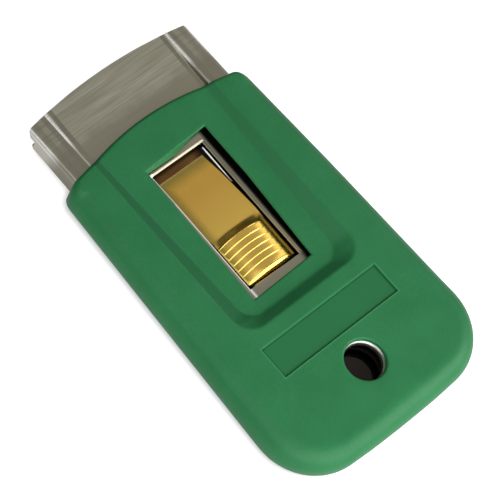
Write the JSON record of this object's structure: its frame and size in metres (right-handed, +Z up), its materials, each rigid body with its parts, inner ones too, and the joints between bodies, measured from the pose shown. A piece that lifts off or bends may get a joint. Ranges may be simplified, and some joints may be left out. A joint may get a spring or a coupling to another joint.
{
  "type": "safety scraper",
  "caption": "Retractable safety scraper: folded steel holder in a moulded handle sleeve, with a sprung ribbed thumb slide that pushes a single-edge razor blade out of the mouth",
  "frame": {"origin": "on the ground under the middle of the tool's bounding box", "axes": "+Y forward to the mouth, +X across the width to the right seen from above, +Z up out of the thumb window"},
  "size_m": [0.0554, 0.094, 0.0097],
  "materials": {
    "sleeve_plastic": "moulded, fine satin grain",
    "holder_steel": "nickel-plated sheet steel, brushed across the width",
    "slide_brass": "brass-plated spring sheet, satin, bright on the ribs",
    "blade_steel": "carbon steel with a ground edge",
    "spine_steel": "plain folded strip"
  },
  "bodies": {
    "handle": {"grip_sleeve": "sleeve_plastic", "blade_holder": "holder_steel"},
    "slide": {"blade_carrier": "slide_brass", "razor_blade": "blade_steel", "blade_spine": "spine_steel"},
    "thumb_leaf": {"thumb_slide": "slide_brass"}
  },
  "joints": [
    {"name": "blade_slide", "type": "slide", "parent": "handle", "child": "slide", "axis": [0, 1, 0], "range_m": [0, 0.017]},
    {"name": "thumb_leaf_press", "type": "hinge", "parent": "slide", "child": "thumb_leaf", "pos_m": [0, 0.02, 0.0033], "axis": [1, 0, 0], "range_deg": [0, 2.4], "stiffness_Nm_per_rad": 2}
  ]
}
